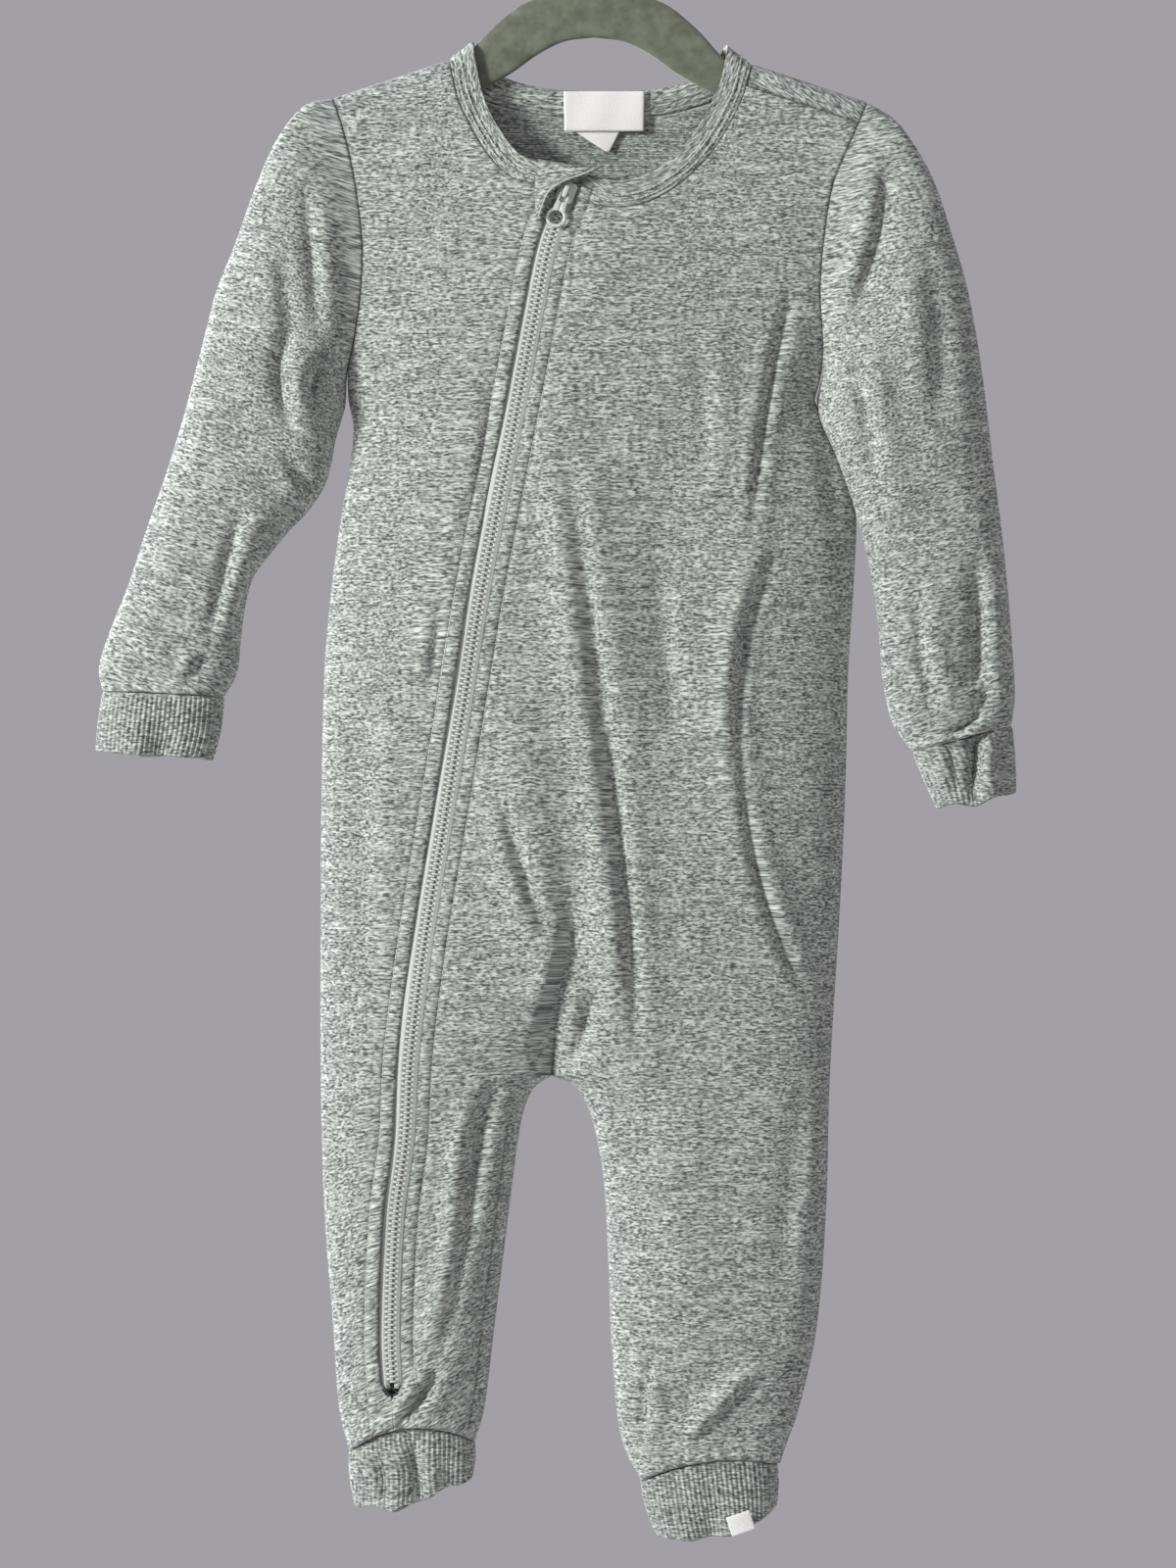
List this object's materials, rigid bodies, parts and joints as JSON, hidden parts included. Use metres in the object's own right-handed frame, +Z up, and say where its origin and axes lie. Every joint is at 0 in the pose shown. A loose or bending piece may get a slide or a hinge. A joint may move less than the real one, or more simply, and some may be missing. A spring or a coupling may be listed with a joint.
{
  "type": "onesie pajama on hanger",
  "caption": "Long-sleeved toddler onesie pajama in heather jersey, with a slanted full-length zip and rib cuffs, hanging flat on a flocked hanger.",
  "frame": {"origin": "inside top of the hanger's hook, where a rail carries it", "axes": "+Z up, the garment's front faces -Y, +X towards the wearer's left"},
  "size_m": [0.4281, 0.0508, 0.7901],
  "materials": {
    "jersey": "heather grey brushed jersey, matt, with fine horizontal streaks",
    "rib": "heather grey 1x1 rib knit, matt",
    "zip_tape": "woven polyester tape, pale warm grey",
    "zip_chain": "moulded teeth, grey, slightly glossy",
    "zip_metal": "grey lacquered zinc, worn bright at the edges",
    "label": "white woven satin tape, bare",
    "flock": "sage green flock, very matt",
    "hook_wire": "polished steel wire"
  },
  "bodies": {
    "garment": {"front_right": "jersey", "front_left": "jersey", "back": "jersey", "sleeve_right": "jersey", "sleeve_left": "jersey", "neckband": "jersey", "zip_garage": "jersey", "wrist_cuff_right": "rib", "wrist_cuff_left": "rib", "ankle_cuff_right": "rib", "ankle_cuff_left": "rib", "zip_tape_right": "zip_tape", "zip_tape_left": "zip_tape", "zip_chain": "zip_chain", "zip_slider": "zip_metal", "neck_label": "label", "care_label": "label", "ankle_tag": "label", "hanger": "flock", "hanger_hook": "hook_wire"},
    "pull_tab": {"pull_tab": "zip_metal"}
  },
  "joints": [
    {"name": "pull_tab_hinge", "type": "hinge", "parent": "garment", "child": "pull_tab", "pos_m": [-0.01282, -0.01583, -0.16151], "axis": [-0.9356, 0.0794, 0.3441], "range_deg": [0, 100]}
  ]
}
